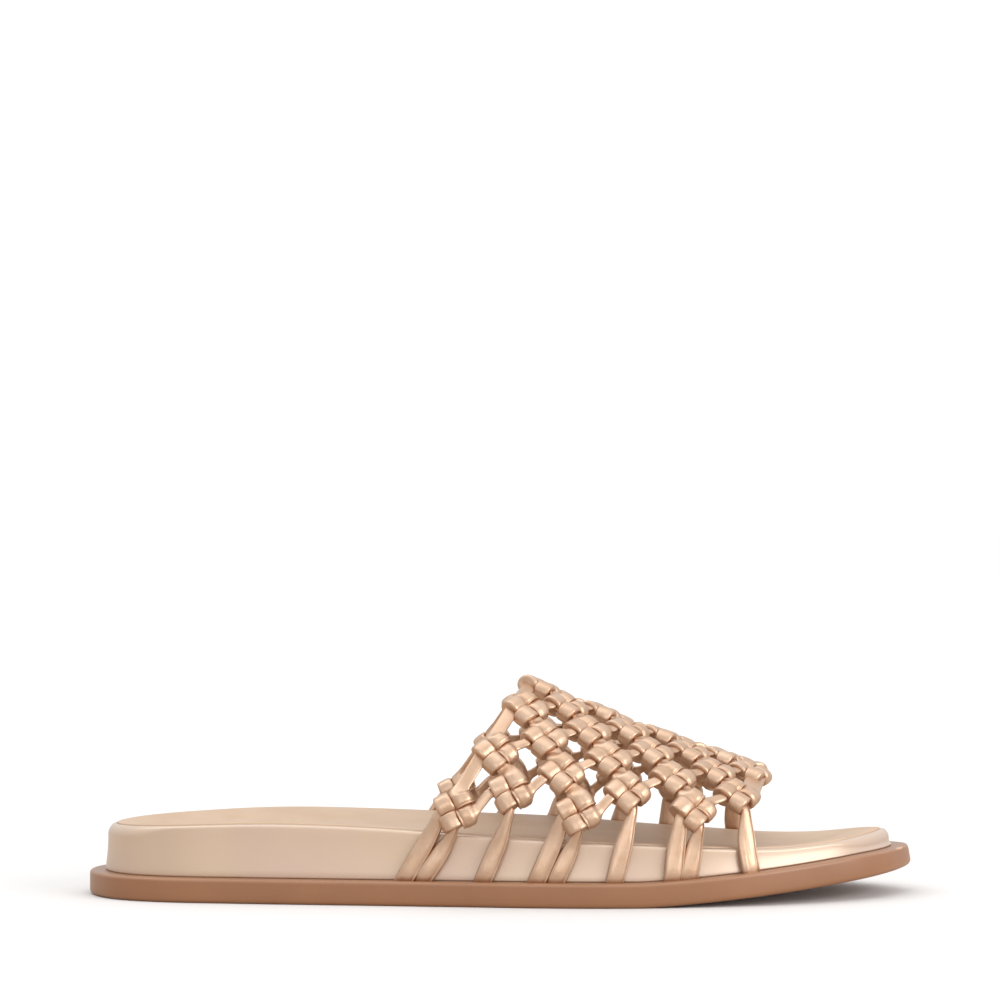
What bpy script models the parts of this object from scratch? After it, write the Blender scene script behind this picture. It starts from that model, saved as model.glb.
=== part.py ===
"""Slide sandal for the right foot: rubber outsole, leather-wrapped footbed, sock and knotted strap upper.

Metres, +Z up. The toe points to +X, the outer side of the foot to -Y, and the sole stands on Z = 0.
Sizes are given in millimetres and are scaled to metres when a mesh is made.
"""
from math import cos, radians, sin

import bmesh
import bpy
import numpy as np

MM = 0.001
OUTSOLE_COLOUR = (0.39, 0.20, 0.09)
MIDSOLE_COLOUR = (0.62, 0.45, 0.34)
INSOLE_COLOUR = (0.55, 0.40, 0.27)
UPPER_COLOUR = (0.67, 0.46, 0.28)

# Sole: edge of the outsole seen from above, one row for each station from the heel tip to the toe tip
OUTLINE_COLUMNS = ("x", "lateral", "medial")
OUTLINE = (
    (-129.0, 0.0, 0.0),
    (-126.3, -12.0, 12.0),
    (-118.0, -23.0, 22.6),
    (-103.0, -30.3, 29.2),
    (-82.0, -34.2, 32.0),
    (-58.0, -37.6, 31.9),
    (-34.0, -40.8, 31.0),
    (-10.0, -44.2, 32.2),
    (12.0, -47.2, 36.0),
    (34.0, -48.2, 41.0),
    (56.0, -46.2, 44.3),
    (77.0, -41.4, 44.0),
    (96.0, -33.6, 39.6),
    (112.0, -23.4, 31.6),
    (123.2, -10.5, 20.5),
    (129.0, 5.0, 5.0),
)
OUTLINE_STEPS = 2

# Height of the footbed's edge on its two sides, one row for each station
EDGE_COLUMNS = ("x", "lateral", "medial")
EDGE = (
    (-124.0, 21.8, 21.8),
    (-100.0, 22.9, 23.3),
    (-70.0, 23.8, 24.6),
    (-40.0, 23.1, 24.2),
    (-10.0, 21.3, 22.9),
    (20.0, 19.6, 21.1),
    (45.0, 18.4, 18.6),
    (70.0, 17.1, 16.7),
    (86.0, 16.7, 15.8),
    (102.0, 17.6, 16.4),
    (124.0, 20.2, 20.2),
)

# Depth of the footbed's dish below its two edges
DISH_COLUMNS = ("x", "depth")
DISH = (
    (-124.0, 1.5),
    (-95.0, 3.2),
    (-30.0, 2.2),
    (20.0, 1.2),
    (60.0, 1.8),
    (124.0, 1.0),
)

SOLE_THICKNESS = 7.5
SPRING_START = 42.0
SPRING_LENGTH = 87.0
SPRING_RISE = 8.5
SPRING_POWER = 1.3
LEDGE = 4.9
WALL_DRAFT = 0.8
GAP = 0.3
SOCK_THICKNESS = 1.3
SOCK_EDGE = 8.3
SPINE_HEEL = -100.0
SPINE_TOE = 95.0

# Profiles of the sole's side, from below upwards: how far each step lies inside the outline and how
# far it lies above the underside, or below the ledge or the footbed's edge
UNDER_STEPS = ((2.2, 0.0), (0.6, 0.7), (0.0, 2.4))
LEDGE_STEPS = ((0.5, 0.9), (1.3, 0.0))
LEDGE_COVER = 1.5
WRAP_BASE_STEPS = ((LEDGE + 0.7, 0.0), (LEDGE, 0.6))
WRAP_RIM_STEPS = ((LEDGE + WALL_DRAFT, 3.3), (LEDGE + WALL_DRAFT + 0.5, 1.5), (LEDGE + WALL_DRAFT + 1.5, 0.4))
BED_PULLS = (0.0, 0.25, 0.5, 0.75, 1.0)
SOCK_UNDER_EDGE = 0.03
SOCK_TOP_EDGE = 0.05

# Upper: the dome that the net lies on. Rows run across the foot from the instep (0) to the toe (7),
# and places in a row are counted from the ridge, negative towards the outer side.
NET = (
    (-6, -4, -2, 0, 2, 4, 6),
    (-5, -3, -1, 1, 3, 5),
    (-4, -2, 0, 2, 4),
    (-5, -3, -1, 1, 3, 5),
    (-4, -2, 0, 2, 4),
    (-3, -1, 1, 3),
    (-4, -2, 0, 2, 4),
    (-3, -1, 1, 3),
)
ROW_START = 12.5
ROW_STEP = 9.5
ROW_BOW = 1.55
BOW_POWER = 1.57
BOW_FADE = 0.039
RIDGE_HEIGHT = 64.1
RIDGE_FALL = 4.14
RIDGE_EASE = 0.076
SHOULDER_HEIGHT = 24.2
SHOULDER_FALL = 0.385
PLACE_SHARE = 0.153
PLACE_SHARE_GROWTH = 0.0091
DOME_POWER = 1.87
DOME_STANDOFF = 1.3
RIDGE_SIDE = -2.0
RIDGE_SIDE_STEP = 0.45

# Knots: a square of four pads, turned in the net's diamond, with one strap leaving each side
KNOT_TURN = -20.0
BORDER_TURN = -34.0
BORDER_PLACE = 5
KNOT_SHARE = 0.4
KNOT_HALF_MIN = 4.0
KNOT_HALF_MAX = 6.2
PORT_PLACE = 0.47
PORT_WIDTH = 3.6
PORT_SHARE = 0.66
CORNER_CUT = 0.75
WAIST_CUT = 0.95
STRAP_TOP = 0.9
STRAP_UNDER = -1.0
CENTRE_TOP = 0.9
PAD_TOP = 3.1
PAD_HIGH = 2.7
PAD_LOW = 1.9
PAD_INSET = 0.34
KNOT_UNDER = -2.0
UNDER_INSET = 0.14

# Side straps, the same on both sides of the foot. Columns: row and place of the knot, the side of the
# knot that the strap leaves, and the station of its foot on the ledge
SIDE_STRAPS = (
    (0, 6, "L", -28.6),
    (0, 6, "B", -22.9),
    (1, 5, "B", -4.9),
    (3, 5, "L", 11.6),
    (3, 5, "B", 17.5),
    (4, 4, "B", 35.3),
    (6, 4, "L", 52.6),
    (6, 4, "B", 58.3),
    (7, 3, "B", 76.2),
)
STRAP_WIDTH = 4.8
STRAP_THICKNESS = 1.9
STRAP_STANDOFF = 0.5
FOOT_GAP = 0.4
RIM_CLEAR = 1.2
RIM_DROP = 5.5
RIM_SHARE = 0.25
LINK_BEND_FROM = 5.0
LINK_REACH = 0.35
STRAP_REACH = 0.4
STRAP_STEPS = ((0.35, 0.0), (0.7, 0.3), (1.0, 0.6))
EDGE_BOW = 0.24


def column(table, columns, name):
    """One named column of a table as an array."""
    return np.array([row[columns.index(name)] for row in table], dtype=float)


def catmull_rom(points, steps):
    """Closed uniform Catmull-Rom curve through the points, with steps samples for each span."""
    out = []
    count = len(points)
    for i in range(count):
        a, b, c, d = (np.asarray(points[(i + j - 1) % count], dtype=float) for j in range(4))
        for j in range(steps):
            t = j / steps
            out.append(0.5 * (2 * b + (c - a) * t + (2 * a - 5 * b + 4 * c - d) * t ** 2
                              + (3 * b - a - 3 * c + d) * t ** 3))
    return np.array(out)


def outline_points():
    """The outsole's edge, anticlockwise from the heel tip: outer side forwards, inner side back."""
    x = column(OUTLINE, OUTLINE_COLUMNS, "x")
    outer = list(zip(x, column(OUTLINE, OUTLINE_COLUMNS, "lateral")))
    inner = list(zip(x, column(OUTLINE, OUTLINE_COLUMNS, "medial")))[1:-1]
    return catmull_rom(outer + inner[::-1], OUTLINE_STEPS)


def inward_normals(points):
    """Unit normals of a closed anticlockwise outline, pointing to its inside."""
    along = np.roll(points, -1, axis=0) - np.roll(points, 1, axis=0)
    along /= np.linalg.norm(along, axis=1)[:, None]
    return np.stack([-along[:, 1], along[:, 0]], axis=1)


EDGE_LINE = outline_points()
EDGE_INWARD = inward_normals(EDGE_LINE)
COUNT = len(EDGE_LINE)
MIRROR = (-np.arange(COUNT)) % COUNT
MIDDLE_Y = 0.5 * (EDGE_LINE[:, 1].min() + EDGE_LINE[:, 1].max())


def spine_points():
    """The line that the rings of a sole close on: the middle between each outer and inner point."""
    inset = EDGE_LINE + EDGE_INWARD * SOCK_EDGE
    middle = 0.5 * (inset + inset[MIRROR])
    order = np.argsort(middle[:, 0])
    x = np.clip(middle[:, 0], SPINE_HEEL, SPINE_TOE)
    return np.column_stack([x, np.interp(x, middle[order, 0], middle[order, 1])])


SPINE = spine_points()


def spring(x):
    """Height of the sole's underside: flat from the heel to the ball, then a soft toe spring."""
    t = np.clip((x - SPRING_START) / SPRING_LENGTH, 0.0, None)
    return SPRING_RISE * t ** SPRING_POWER


def ledge_height(x):
    return spring(x) + SOLE_THICKNESS


def edge_heights(points):
    """Height of the footbed's edge at each point of a ring, by its side of the foot."""
    x = points[:, 0]
    station = column(EDGE, EDGE_COLUMNS, "x")
    lateral = np.interp(x, station, column(EDGE, EDGE_COLUMNS, "lateral"))
    medial = np.interp(x, station, column(EDGE, EDGE_COLUMNS, "medial"))
    outer = np.arange(COUNT) <= COUNT // 2
    return np.where(outer, lateral, medial)


def smooth(t):
    return t * t * (3.0 - 2.0 * t)


def ring(inset, heights, pull=0.0):
    """A ring of 3D points: the outline drawn in by inset, then pulled towards the spine."""
    flat = EDGE_LINE + EDGE_INWARD * inset
    flat = flat * (1.0 - pull) + SPINE * pull
    return np.column_stack([flat, heights(flat)])


def bed_ring(pull, lift):
    """A ring of the footbed's dished top, from its edge (pull 0) to the spine (pull 1)."""
    edge_ring = ring(SOCK_EDGE, edge_heights)
    heights = edge_ring[:, 2]
    middle = 0.5 * (heights + heights[MIRROR])
    depth = np.interp(SPINE[:, 0], column(DISH, DISH_COLUMNS, "x"), column(DISH, DISH_COLUMNS, "depth"))
    spine_x = SPINE[:, 0]
    level = np.interp(spine_x, edge_ring[:COUNT // 2 + 1, 0], middle[:COUNT // 2 + 1])
    blend = smooth(pull)
    flat = edge_ring[:, :2] * (1.0 - pull) + SPINE * pull
    return np.column_stack([flat, heights * (1.0 - blend) + (level - depth) * blend + lift])


def make_object(name, points, faces, colour, roughness, metallic):
    """One closed object from points in millimetres, centred across the sole, with its own material."""
    mesh = bpy.data.meshes.new(name)
    placed = (np.array(points, dtype=float) - (0.0, MIDDLE_Y, 0.0)) * MM
    mesh.from_pydata(placed.tolist(), [], faces)
    work = bmesh.new()
    work.from_mesh(mesh)
    bmesh.ops.recalc_face_normals(work, faces=work.faces)
    bmesh.ops.triangulate(work, faces=[f for f in work.faces if len(f.verts) > 3])
    work.to_mesh(mesh)
    work.free()
    mesh.shade_smooth()
    mesh.set_sharp_from_angle(angle=radians(40.0))
    item = bpy.data.objects.new(name, mesh)
    bpy.context.scene.collection.objects.link(item)
    material = bpy.data.materials.new(name + "_finish")
    material.use_nodes = True
    shader = material.node_tree.nodes["Principled BSDF"]
    shader.inputs["Base Color"].default_value = (*colour, 1.0)
    shader.inputs["Roughness"].default_value = roughness
    shader.inputs["Metallic"].default_value = metallic
    mesh.materials.append(material)
    return item


def close_rings(rings):
    """Points and faces of the closed body between rings whose first and last lie on the spine."""
    points, faces, known = [], [], {}

    def vertex(point):
        key = tuple(round(float(v), 5) for v in point)
        if key not in known:
            known[key] = len(points)
            points.append(point)
        return known[key]

    loops = [[vertex(point) for point in one] for one in rings]
    for lower, upper in zip(loops, loops[1:]):
        for i in range(COUNT):
            j = (i + 1) % COUNT
            corners = []
            for corner in (lower[i], lower[j], upper[j], upper[i]):
                if corner not in corners:
                    corners.append(corner)
            if len(corners) > 2:
                faces.append(tuple(corners))
    return points, faces


def outsole():
    def under(lift):
        return lambda flat: spring(flat[:, 0]) + lift

    def ledge(drop):
        return lambda flat: ledge_height(flat[:, 0]) - drop

    base = UNDER_STEPS[0][0]
    cover = LEDGE + LEDGE_COVER
    rings = [ring(base, under(0.0), pull) for pull in (1.0, 0.5)]
    rings += [ring(inset, under(lift)) for inset, lift in UNDER_STEPS]
    rings += [ring(inset, ledge(drop)) for inset, drop in LEDGE_STEPS]
    rings += [ring(cover, ledge(0.0), pull) for pull in (0.0, 1.0)]
    return make_object("outsole", *close_rings(rings), OUTSOLE_COLOUR, 0.55, 0.0)


def midsole():
    def base(lift):
        return lambda flat: ledge_height(flat[:, 0]) + GAP + lift

    def rim(drop):
        return lambda flat: edge_heights(flat) - drop

    rings = [ring(LEDGE + LEDGE_COVER, base(0.0), 1.0)]
    rings += [ring(inset, base(lift)) for inset, lift in WRAP_BASE_STEPS]
    rings += [ring(inset, rim(drop)) for inset, drop in WRAP_RIM_STEPS]
    rings += [bed_ring(pull, 0.0) for pull in BED_PULLS]
    return make_object("midsole", *close_rings(rings), MIDSOLE_COLOUR, 0.35, 0.6)


def insole():
    top = GAP + SOCK_THICKNESS
    inner = BED_PULLS[1:]
    rings = [bed_ring(pull, GAP) for pull in inner[::-1] + (SOCK_UNDER_EDGE,)]
    rings += [bed_ring(0.0, GAP + 0.5 * SOCK_THICKNESS)]
    rings += [bed_ring(pull, top) for pull in (SOCK_TOP_EDGE,) + inner]
    return make_object("insole", *close_rings(rings), INSOLE_COLOUR, 0.5, 0.3)


def side_edge(x, side):
    """Point and inward normal of the outsole's edge at a station, on side -1 (outer) or 1 (inner)."""
    half = slice(0, COUNT // 2 + 1)
    if side < 0:
        line, inward = EDGE_LINE[half], EDGE_INWARD[half]
    else:
        line, inward = EDGE_LINE[MIRROR][half], EDGE_INWARD[MIRROR][half]
    y = np.interp(x, line[:, 0], line[:, 1])
    normal = np.array([np.interp(x, line[:, 0], inward[:, i]) for i in (0, 1)])
    return np.array([x, y]), normal / np.linalg.norm(normal)


def strap_layer(x, side, inset):
    """Point in plan at the middle of the strap layer outside the footbed's wall."""
    edge, inward = side_edge(x, side)
    out = edge + inward * (inset - STRAP_STANDOFF - 0.5 * STRAP_THICKNESS)
    return out, -inward


def station(row, place):
    """How far forward a place of the net lies: a row bows back towards the sides of the foot."""
    return ROW_START + ROW_STEP * row - ROW_BOW * abs(place) ** BOW_POWER * (1.0 - BOW_FADE * row)


def dome_section(row, side):
    """Half a section of the dome at a row: arc lengths, offsets from the ridge line and heights."""
    base_place = 1.0 / (PLACE_SHARE + PLACE_SHARE_GROWTH * row)
    base, _ = strap_layer(station(row, base_place), side, LEDGE + WALL_DRAFT - DOME_STANDOFF)
    ridge_y = RIDGE_SIDE + RIDGE_SIDE_STEP * row
    width = abs(base[1] - ridge_y)
    ridge = RIDGE_HEIGHT - RIDGE_FALL * row + RIDGE_EASE * row ** 2
    shoulder = SHOULDER_HEIGHT - SHOULDER_FALL * row
    power = 2.0 / DOME_POWER
    turn = np.linspace(0.0, np.pi / 2, 90)
    y = width * np.sin(turn) ** power
    z = shoulder + (ridge - shoulder) * np.clip(np.cos(turn), 0.0, None) ** power
    arc = np.concatenate([[0.0], np.cumsum(np.hypot(np.diff(y), np.diff(z)))])
    return arc, y, z, ridge_y


def dome(row, place):
    """Point of the dome under a place of the net; past the shoulder it goes straight down."""
    side = -1.0 if place < 0 else 1.0
    arc, y, z, ridge_y = dome_section(row, side)
    run = abs(place) * (PLACE_SHARE + PLACE_SHARE_GROWTH * row) * arc[-1]
    drop = max(0.0, run - arc[-1])
    return np.array([station(row, place), ridge_y + side * np.interp(run, arc, y),
                     np.interp(run, arc, z) - drop])


def unit(vector):
    return vector / np.linalg.norm(vector)


def has_knot(row, place):
    return 0 <= row < len(NET) and place in NET[row]


def port_towards(place, row_step, place_step):
    """Side of a knot that a strap to the next row and place leaves: R, T, L or B."""
    up = place_step if place <= 0 else -place_step
    return {(1, 1): "R", (-1, 1): "T", (-1, -1): "L", (1, -1): "B"}[(row_step, up)]


class Upper:
    """The net as one mesh: knots, links between them, edge straps and side straps."""

    def __init__(self):
        self.points = []
        self.faces = []
        self.ports = {}

    def add(self, point):
        self.points.append(point)
        return len(self.points) - 1

    def knot(self, row, place):
        up_step = 1 if place <= 0 else -1
        centre = dome(row, place)
        first = unit(dome(row + 1, place + up_step) - dome(row - 1, place - up_step))
        second = unit(dome(row - 1, place + up_step) - dome(row + 1, place - up_step))
        toe, up = unit(first - second), unit(first + second)
        normal = np.cross(toe, up) * up_step
        near = [np.linalg.norm(dome(row + a, place + b) - centre)
                for a in (-1, 1) for b in (-1, 1) if has_knot(row + a, place + b)]
        half = float(np.clip(KNOT_SHARE * min(near), KNOT_HALF_MIN, KNOT_HALF_MAX))
        turn = radians(BORDER_TURN if abs(place) >= BORDER_PLACE else KNOT_TURN)
        s_axis = cos(turn) * toe + sin(turn) * up
        t_axis = cos(turn) * up - sin(turn) * toe

        def at(s, t, z, quarter):
            for _ in range(quarter):
                s, t = -t, s
            return centre + s_axis * s + t_axis * t + normal * z

        port_half = min(PORT_WIDTH, PORT_SHARE * half) / 2
        port_a, port_b = PORT_PLACE * half + port_half, PORT_PLACE * half - port_half
        corner, waist = half - CORNER_CUT, half - WAIST_CUT
        shape = ((waist, 0.0), (corner, corner), (port_a, half), (port_b, half))
        middle = self.add(at(0.0, 0.0, CENTRE_TOP, 0))
        base = self.add(at(0.0, 0.0, KNOT_UNDER, 0))
        top, low, under = [], [], []
        for quarter in range(4):
            for index, (s, t) in enumerate(shape):
                top.append(self.add(at(s, t, STRAP_TOP if index else 0.5 * STRAP_TOP, quarter)))
                low.append(self.add(at(s, t, STRAP_UNDER, quarter)))
                share = 1.0 - UNDER_INSET
                under.append(self.add(at(s * share, t * share, KNOT_UNDER, quarter)))
        rim = len(top)
        open_sides = []
        for quarter, name in enumerate("RTLB"):
            a, b = quarter * 4 + 2, quarter * 4 + 3
            facing = at(0.0, 1.0, 0.0, quarter) - centre
            right = np.cross(facing, normal)
            span = self.points[top[b]] - self.points[top[a]]
            if np.dot(span, right) > 0:
                a, b = b, a
            self.ports[(row, place, name)] = {
                "corners": (top[b], top[a], low[a], low[b]),
                "facing": facing,
                "normal": normal,
                "used": False,
            }
            open_sides.append(quarter * 4 + 2)
            border = [top[(quarter * 4 + i) % rim] for i in range(5)]
            self.pad(at, quarter, half, [middle] + border)
        for i in range(rim):
            j = (i + 1) % rim
            if i not in open_sides:
                self.faces.append((top[i], top[j], low[j], low[i]))
            self.faces.append((low[i], low[j], under[j], under[i]))
            self.faces.append((under[i], under[j], base))

    def pad(self, at, quarter, half, border):
        """One raised pad: its inner end lies lower, where it dives under the pad beside it."""
        peak = self.add(at(0.5 * half, 0.5 * half, PAD_TOP, quarter))
        heart = at(0.5 * half, 0.5 * half, 0.0, quarter)
        normal = unit(self.points[peak] - heart)
        heights = (PAD_LOW, PAD_HIGH, PAD_HIGH, PAD_HIGH, PAD_HIGH, PAD_LOW)
        crest = []
        for corner, height in zip(border, heights):
            flat = self.points[corner] - heart
            flat = flat - normal * np.dot(flat, normal)
            crest.append(self.add(heart + flat * (1.0 - PAD_INSET) + normal * height))
        for i in range(6):
            j = (i + 1) % 6
            self.faces.append((border[i], border[j], crest[j], crest[i]))
            self.faces.append((crest[i], crest[j], peak))

    def section(self, centre, along, normal, width, thickness):
        right = unit(np.cross(along, normal))
        outward = unit(np.cross(right, along))
        return tuple(self.add(centre + right * a * width / 2 + outward * b * thickness / 2)
                     for a, b in ((-1, 1), (1, 1), (1, -1), (-1, -1)))

    def sleeve(self, sections):
        for near, far in zip(sections, sections[1:]):
            for i in range(4):
                j = (i + 1) % 4
                self.faces.append((near[i], near[j], far[j], far[i]))

    def port_middle(self, port):
        return sum(self.points[i] for i in port["corners"]) / 4.0

    def link(self, start, end, bow=0.0):
        """A strap between two ports, bent where the ports don't face each other."""
        one, two = self.ports[start], self.ports[end]
        one["used"] = two["used"] = True
        a, b = self.port_middle(one), self.port_middle(two)
        gap = np.linalg.norm(b - a)
        left_top, right_top, right_low, left_low = two["corners"]
        sections = [one["corners"]]
        if gap > LINK_BEND_FROM:
            steps = 4 if bow else 2
            reach = gap * (bow if bow else LINK_REACH)
            for i in range(1, steps):
                t = i / steps
                u = 1.0 - t
                c, d = a + one["facing"] * reach, b + two["facing"] * reach
                centre = u ** 3 * a + 3 * u * u * t * c + 3 * u * t * t * d + t ** 3 * b
                along = u * u * (c - a) + 2 * u * t * (d - c) + t * t * (b - d)
                normal = u * one["normal"] + t * two["normal"]
                thickness = STRAP_TOP - STRAP_UNDER
                sections.append(self.section(centre, unit(along), normal, PORT_WIDTH, thickness))
        sections.append((right_top, left_top, left_low, right_low))
        self.sleeve(sections)

    def side_strap(self, row, place, name, foot_x, side):
        """A strap from a knot at the net's border down the footbed's wall to the ledge."""
        port = self.ports[(row, place * side, name)]
        port["used"] = True
        start = self.port_middle(port)
        rim_x = start[0] + RIM_SHARE * (foot_x - start[0])
        rim_flat, rim_out = strap_layer(rim_x, side, LEDGE + WALL_DRAFT)
        low_flat, low_out = strap_layer(foot_x, side, LEDGE)
        edge_name = "lateral" if side < 0 else "medial"
        edge_z = np.interp(rim_x, column(EDGE, EDGE_COLUMNS, "x"), column(EDGE, EDGE_COLUMNS, edge_name))
        rim = np.array([*rim_flat, min(edge_z - RIM_CLEAR, start[2] - RIM_DROP)])
        low = np.array([*low_flat, ledge_height(foot_x) + FOOT_GAP])
        wall_out = np.array([*low_out, 0.0])
        gap = np.linalg.norm(rim - start)
        down = unit(low - rim)
        lead = unit(port["facing"] + unit(rim - start))
        c, d = start + lead * STRAP_REACH * gap, rim - down * STRAP_REACH * gap
        sections = [port["corners"]]
        for t, flare in STRAP_STEPS:
            u = 1.0 - t
            centre = u ** 3 * start + 3 * u * u * t * c + 3 * u * t * t * d + t ** 3 * rim
            along = unit(u * u * (c - start) + 2 * u * t * (d - c) + t * t * (rim - d))
            normal = u * port["normal"] + t * np.array([*rim_out, 0.0])
            sections.append(self.section(centre, along, normal, PORT_WIDTH + flare, STRAP_THICKNESS))
        half_x = 0.5 * (rim_x + foot_x)
        half_flat, half_out = strap_layer(half_x, side, LEDGE + 0.5 * WALL_DRAFT)
        half_way = np.array([*half_flat, 0.5 * (rim[2] + low[2])])
        width = 0.5 * (PORT_WIDTH + STRAP_STEPS[-1][1] + STRAP_WIDTH)
        half_normal = np.array([*half_out, 0.0])
        sections.append(self.section(half_way, down, half_normal, width, STRAP_THICKNESS))
        foot = self.section(low, np.array([0.0, 0.0, -1.0]), wall_out, STRAP_WIDTH, STRAP_THICKNESS)
        sections.append(foot)
        self.sleeve(sections)
        self.faces.append(foot)

    def close_ports(self):
        for port in self.ports.values():
            if not port["used"]:
                self.faces.append(port["corners"])


def upper():
    net = Upper()
    for row, places in enumerate(NET):
        for place in places:
            net.knot(row, place)
    for row, places in enumerate(NET):
        for place in places:
            for step in (-1, 1):
                if has_knot(row + 1, place + step):
                    here = (row, place, port_towards(place, 1, step))
                    there = (row + 1, place + step, port_towards(place + step, -1, -step))
                    net.link(here, there)
    last = len(NET) - 1
    for low, high in zip(NET[0], NET[0][1:]):
        net.link((0, low, "T" if low <= 0 else "L"), (0, high, "L" if high <= 0 else "T"), EDGE_BOW)
    for low, high in zip(NET[last], NET[last][1:]):
        net.link((last, low, "R" if low < 0 else "B"), (last, high, "B" if high < 0 else "R"), EDGE_BOW)
    for row, place, name, foot_x in SIDE_STRAPS:
        for side in (-1, 1):
            net.side_strap(row, place, name, foot_x, side)
    net.close_ports()
    return make_object("upper", net.points, net.faces, UPPER_COLOUR, 0.35, 0.8)


def main():
    for item in list(bpy.data.objects):
        bpy.data.objects.remove(item, do_unlink=True)
    outsole()
    midsole()
    insole()
    upper()


main()
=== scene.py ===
"""Looks of a slide sandal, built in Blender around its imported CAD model.

Metres in Blender, +Z up. The toe points to +X, the outer side of the right foot to -Y, and the sole
stands on Z = 0. The construction below counts in millimetres, and a mesh is scaled when it is made.
"""
from math import cos, pi, radians, sin

import bpy
import numpy as np
from bpy.props import FloatProperty, FloatVectorProperty, PointerProperty
from bpy.types import Operator, Panel, PropertyGroup
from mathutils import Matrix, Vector


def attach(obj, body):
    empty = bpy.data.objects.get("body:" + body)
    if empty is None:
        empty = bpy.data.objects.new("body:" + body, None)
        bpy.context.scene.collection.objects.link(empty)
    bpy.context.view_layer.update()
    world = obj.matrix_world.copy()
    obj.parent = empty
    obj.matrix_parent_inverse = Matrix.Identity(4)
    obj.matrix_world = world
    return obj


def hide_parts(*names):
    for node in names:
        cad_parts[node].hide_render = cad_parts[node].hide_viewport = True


bl_info = {
    "name": "Slide sandal",
    "version": (1, 0, 0),
    "blender": (4, 5, 0),
    "location": "3D View > Sidebar > Sandal",
    "description": "Builds a slide sandal with a net of knotted leather straps",
    "category": "Object",
}

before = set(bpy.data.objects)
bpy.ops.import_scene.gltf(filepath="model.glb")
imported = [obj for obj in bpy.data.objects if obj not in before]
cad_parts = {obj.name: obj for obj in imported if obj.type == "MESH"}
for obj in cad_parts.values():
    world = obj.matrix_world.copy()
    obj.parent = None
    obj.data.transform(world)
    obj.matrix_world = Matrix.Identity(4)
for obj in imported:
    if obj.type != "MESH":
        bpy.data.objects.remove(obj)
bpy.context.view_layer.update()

MM = 0.001
SEED = 11

# ---- Last and sole ----

# Edge of the outsole: station, outer side, inner side
OUTLINE = (
    (-129.0, 0.0, 0.0), (-126.3, -12.0, 12.0), (-118.0, -23.0, 22.6), (-103.0, -30.3, 29.2),
    (-82.0, -34.2, 32.0), (-58.0, -37.6, 31.9), (-34.0, -40.8, 31.0), (-10.0, -44.2, 32.2),
    (12.0, -47.2, 36.0), (34.0, -48.2, 41.0), (56.0, -46.2, 44.3), (77.0, -41.4, 44.0),
    (96.0, -33.6, 39.6), (112.0, -23.4, 31.6), (123.2, -10.5, 20.5), (129.0, 5.0, 5.0),
)
# Height of the footbed's edge: station, outer side, inner side
EDGE = (
    (-124.0, 21.8, 21.8), (-100.0, 22.9, 23.3), (-70.0, 23.8, 24.6), (-40.0, 23.1, 24.2),
    (-10.0, 21.3, 22.9), (20.0, 19.6, 21.1), (45.0, 18.4, 18.6), (70.0, 17.1, 16.7),
    (86.0, 16.7, 15.8), (102.0, 17.6, 16.4), (124.0, 20.2, 20.2),
)
# Depth of the footbed's hollow: station, depth
DISH = (
    (-124.0, 1.5), (-95.0, 3.2), (-30.0, 2.2), (20.0, 1.2), (60.0, 1.8), (124.0, 1.0),
)
OUTLINE_STEPS = 10
SOLE_THICKNESS = 7.5
SPRING_START = 42.0
SPRING_LENGTH = 87.0
SPRING_RISE = 8.5
SPRING_POWER = 1.3
LEDGE = 4.9
WALL_DRAFT = 0.8
LEDGE_COVER = 1.5
SOCK_EDGE = 8.3
# The footbed's toe is rounder than the outsole's
TOE_INSET = 3.0
TOE_START = 108.0
TOE_FADE = 14.0
TOE_PASSES = 12
# The outsole's toe end is thinner, and its side leans out towards the floor
THIN_START = 108.0
THIN_LENGTH = 21.0
TOE_THINNING = 1.0
LEAN_START = 96.0
LEAN_LENGTH = 33.0
TOE_LEAN = 0.8
LOWER_ROUND = 1.4
LOWER_RISE = 1.5
LEDGE_ROUND = 1.0
# The footbed's rim is rounder at heel and toe
RIM_ROUND = 0.9
RIM_ROUND_ENDS = 2.4
HEEL_END, HEEL_FADE = -100.0, 20.0
TOE_END, TOE_END_FADE = 104.0, 18.0
WRAP_FOOT_REACH = 0.4
WRAP_FOOT_RISE = 0.5
WRAP_LIFT = 0.03
# The sock lies in a shallow rebate of the wrapped footbed: share of the way to the spine, and height
# over the rim, down the rebate's wall and round the sock's edge
WRAP_EDGE = ((0.004, -0.02), (0.008, -0.12), (0.011, -0.45), (0.013, -1.35), (0.04, -1.45))
SOCK_EDGES = ((0.05, -1.38), (0.022, -1.3), (0.0165, -0.9), (0.0155, -0.35), (0.016, 0.1), (0.019, 0.3),
              (0.026, 0.39), (0.06, 0.42))
SPINE_HEEL = -100.0
SPINE_TOE = 95.0

# ---- Net of the upper ----

# Places of the knots in each row, from the back to the front, odd or even counts from the ridge
NET = (
    (-6, -4, -2, 0, 2, 4, 6),
    (-5, -3, -1, 1, 3, 5),
    (-4, -2, 0, 2, 4),
    (-5, -3, -1, 1, 3, 5),
    (-4, -2, 0, 2, 4),
    (-3, -1, 1, 3),
    (-4, -2, 0, 2, 4),
    (-3, -1, 1, 3),
)
ROW_START = 12.5
ROW_STEP = 9.5
ROW_BOW = 1.55
BOW_POWER = 1.57
BOW_FADE = 0.039
RIDGE_HEIGHT = 64.1
RIDGE_FALL = 4.14
RIDGE_EASE = 0.076
SHOULDER_HEIGHT = 24.2
SHOULDER_FALL = 0.385
PLACE_SHARE = 0.153
PLACE_SHARE_GROWTH = 0.0091
DOME_POWER = 1.87
DOME_STANDOFF = 1.3
RIDGE_SIDE = -2.0
RIDGE_SIDE_STEP = 0.45
KNOT_TURN = -20.0
BORDER_TURN = -34.0
BORDER_PLACE = 5
KNOT_SHARE = 0.4
KNOT_HALF_MIN = 4.0
KNOT_HALF_MAX = 5.3
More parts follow.
